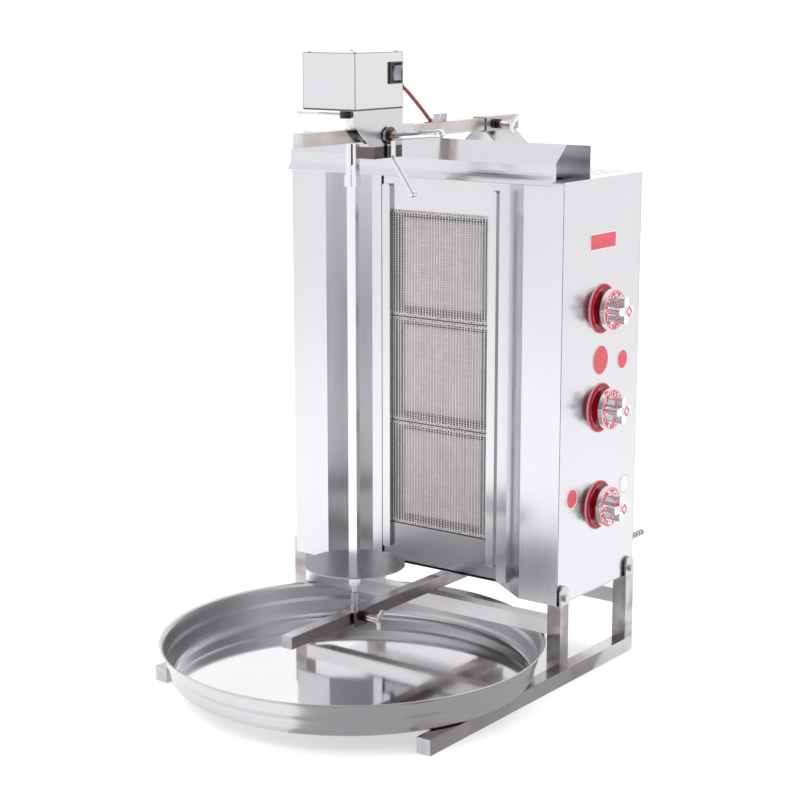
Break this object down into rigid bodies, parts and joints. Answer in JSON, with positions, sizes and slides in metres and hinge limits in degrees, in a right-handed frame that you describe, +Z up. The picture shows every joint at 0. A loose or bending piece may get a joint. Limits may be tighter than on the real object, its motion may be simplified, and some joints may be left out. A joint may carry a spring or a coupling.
{
  "type": "vertical rotisserie broiler",
  "caption": "Upright gas broiler with stacked radiants, a motor-driven vertical spit on sliding arms, drip pan and skid base.",
  "frame": {"origin": "middle of the footprint, on the surface the skids stand on", "axes": "+X to the machine's right as seen from the front, where the taps are; +Y to the back; +Z up along the spit"},
  "size_m": [0.632, 0.814, 1.0174],
  "materials": {
    "stainless_panel": "brushed bright stainless sheet",
    "stainless_tube": "brushed stainless tube",
    "stainless_satin": "satin stainless",
    "polished_pan": "polished spun stainless",
    "chrome_plate": "bright chrome plate",
    "zinc_fastener": "zinc plated steel",
    "brass_fitting": "machined brass",
    "burner_steel": "heat-dulled sheet",
    "burner_mesh": "woven heat-resisting wire mesh",
    "ceramic": "porous ceramic tile",
    "red_enamel": "glossy deep red",
    "knob_chrome": "chrome-finished knob",
    "label_plain": "plain printed plate with no lettering",
    "black_plastic": "black moulded plastic",
    "rocker_plastic": "grey moulded rocker",
    "black_rubber": "black rubber",
    "cable_sheath": "red-brown flexible sheath",
    "motor_paint": "dark painted motor",
    "gear_case": "cast gearcase"
  },
  "bodies": {
    "stand": {"skid_left": "stainless_tube", "skid_right": "stainless_tube", "legs": "stainless_tube", "cross_tubes": "stainless_tube", "tube_end_caps": "black_plastic", "cabinet_lugs": "stainless_satin", "lug_bolts": "zinc_fastener", "side_panel_left": "stainless_panel", "side_panel_right": "stainless_panel", "back_panel": "stainless_panel", "bottom_panel": "stainless_panel", "front_wing_left": "stainless_panel", "front_wing_right": "stainless_panel", "top_cover": "stainless_panel", "hood": "stainless_panel", "upper_blank_panel": "stainless_panel", "lower_blank_panel": "stainless_panel", "guide_strips": "stainless_panel", "ceramic_tiles": "ceramic", "burner_plenums": "burner_steel", "burner_screens": "burner_mesh", "gas_valves": "brass_fitting", "burner_feed_lines": "brass_fitting", "gas_manifold": "zinc_fastener", "hose_spigot": "brass_fitting", "knob_bezels": "red_enamel", "blank_labels": "label_plain", "lower_arm": "stainless_tube", "upper_arm": "stainless_tube", "arm_channel": "stainless_satin", "arm_pedestal": "stainless_satin", "cable_grommet": "black_rubber", "cable_clip": "stainless_satin"},
    "head": {"motor_housing": "stainless_panel", "head_bracket": "stainless_satin", "head_fasteners": "zinc_fastener", "gearbox": "gear_case", "motor_can": "motor_paint", "switch_frame": "black_plastic", "cable_gland": "black_plastic", "motor_cable": "cable_sheath"},
    "drive": {"output_shaft": "zinc_fastener", "drive_tube": "stainless_satin", "socket_collar": "stainless_satin"},
    "skewer": {"spit": "stainless_satin", "meat_plate": "stainless_satin"},
    "clamp": {"clamp_lever": "chrome_plate"},
    "clutch": {"clutch_handle": "zinc_fastener"},
    "rocker": {"switch_rocker": "rocker_plastic"},
    "foot": {"foot_saddle": "stainless_tube", "foot_bearing_cup": "stainless_satin"},
    "foot_screw": {"foot_wing_bolt": "zinc_fastener"},
    "rear_screw": {"rear_wing_bolt": "zinc_fastener"},
    "pan": {"drip_pan": "polished_pan"},
    "stem_bottom": {"valve_stem_bottom": "brass_fitting"},
    "knob_bottom": {"knob_bottom": "knob_chrome"},
    "stem_middle": {"valve_stem_middle": "brass_fitting"},
    "knob_middle": {"knob_middle": "knob_chrome"},
    "stem_top": {"valve_stem_top": "brass_fitting"},
    "knob_top": {"knob_top": "knob_chrome"}
  },
  "joints": [
    {"name": "head_slide", "type": "slide", "parent": "stand", "child": "head", "axis": [0, 1, 0], "range_m": [-0.03, 0.05], "deforming": ["motor_cable"]},
    {"name": "foot_slide", "type": "slide", "parent": "stand", "child": "foot", "axis": [0, 1, 0], "range_m": [-0.03, 0.05]},
    {"name": "spit_drive", "type": "hinge", "parent": "head", "child": "drive", "pos_m": [0, -0.094, 0.89], "axis": [0, 0, 1], "continuous": true},
    {"name": "spit_lift", "type": "slide", "parent": "drive", "child": "skewer", "axis": [0, 0, 1], "range_m": [0, 0.025]},
    {"name": "clamp_turn", "type": "hinge", "parent": "head", "child": "clamp", "pos_m": [0.071, -0.066, 0.889], "axis": [1, 0, 0], "range_deg": [-90, 90]},
    {"name": "clutch_swing", "type": "hinge", "parent": "head", "child": "clutch", "pos_m": [0.005, -0.117, 0.921], "axis": [0, 0, 1], "range_deg": [-20, 20]},
    {"name": "rocker_tip", "type": "hinge", "parent": "head", "child": "rocker", "pos_m": [0.044, -0.0475, 0.9835], "axis": [0, 1, 0], "range_deg": [0, 14]},
    {"name": "foot_screw_turn", "type": "hinge", "parent": "foot", "child": "foot_screw", "pos_m": [0.026, -0.093, 0.121], "axis": [1, 0, 0], "continuous": true},
    {"name": "rear_screw_turn", "type": "hinge", "parent": "stand", "child": "rear_screw", "pos_m": [0.056, 0.249, 0.891], "axis": [1, 0, 0], "continuous": true},
    {"name": "pan_slide", "type": "slide", "parent": "stand", "child": "pan", "axis": [0, -1, 0], "range_m": [0, 0.45]},
    {"name": "tap_push_bottom", "type": "slide", "parent": "stand", "child": "stem_bottom", "axis": [-1, 0, 0], "range_m": [0, 0.003], "stiffness_N_per_m": 900, "springref_m": -0.002},
    {"name": "tap_turn_bottom", "type": "hinge", "parent": "stem_bottom", "child": "knob_bottom", "pos_m": [0.296, 0.216, 0.28], "axis": [1, 0, 0], "range_deg": [0, 210]},
    {"name": "tap_push_middle", "type": "slide", "parent": "stand", "child": "stem_middle", "axis": [-1, 0, 0], "range_m": [0, 0.003], "stiffness_N_per_m": 900, "springref_m": -0.002},
    {"name": "tap_turn_middle", "type": "hinge", "parent": "stem_middle", "child": "knob_middle", "pos_m": [0.296, 0.216, 0.443], "axis": [1, 0, 0], "range_deg": [0, 210]},
    {"name": "tap_push_top", "type": "slide", "parent": "stand", "child": "stem_top", "axis": [-1, 0, 0], "range_m": [0, 0.003], "stiffness_N_per_m": 900, "springref_m": -0.002},
    {"name": "tap_turn_top", "type": "hinge", "parent": "stem_top", "child": "knob_top", "pos_m": [0.296, 0.216, 0.606], "axis": [1, 0, 0], "range_deg": [0, 210]}
  ],
  "couplings": [
    {"joint": "foot_slide", "follows": "head_slide", "ratio": 1}
  ]
}
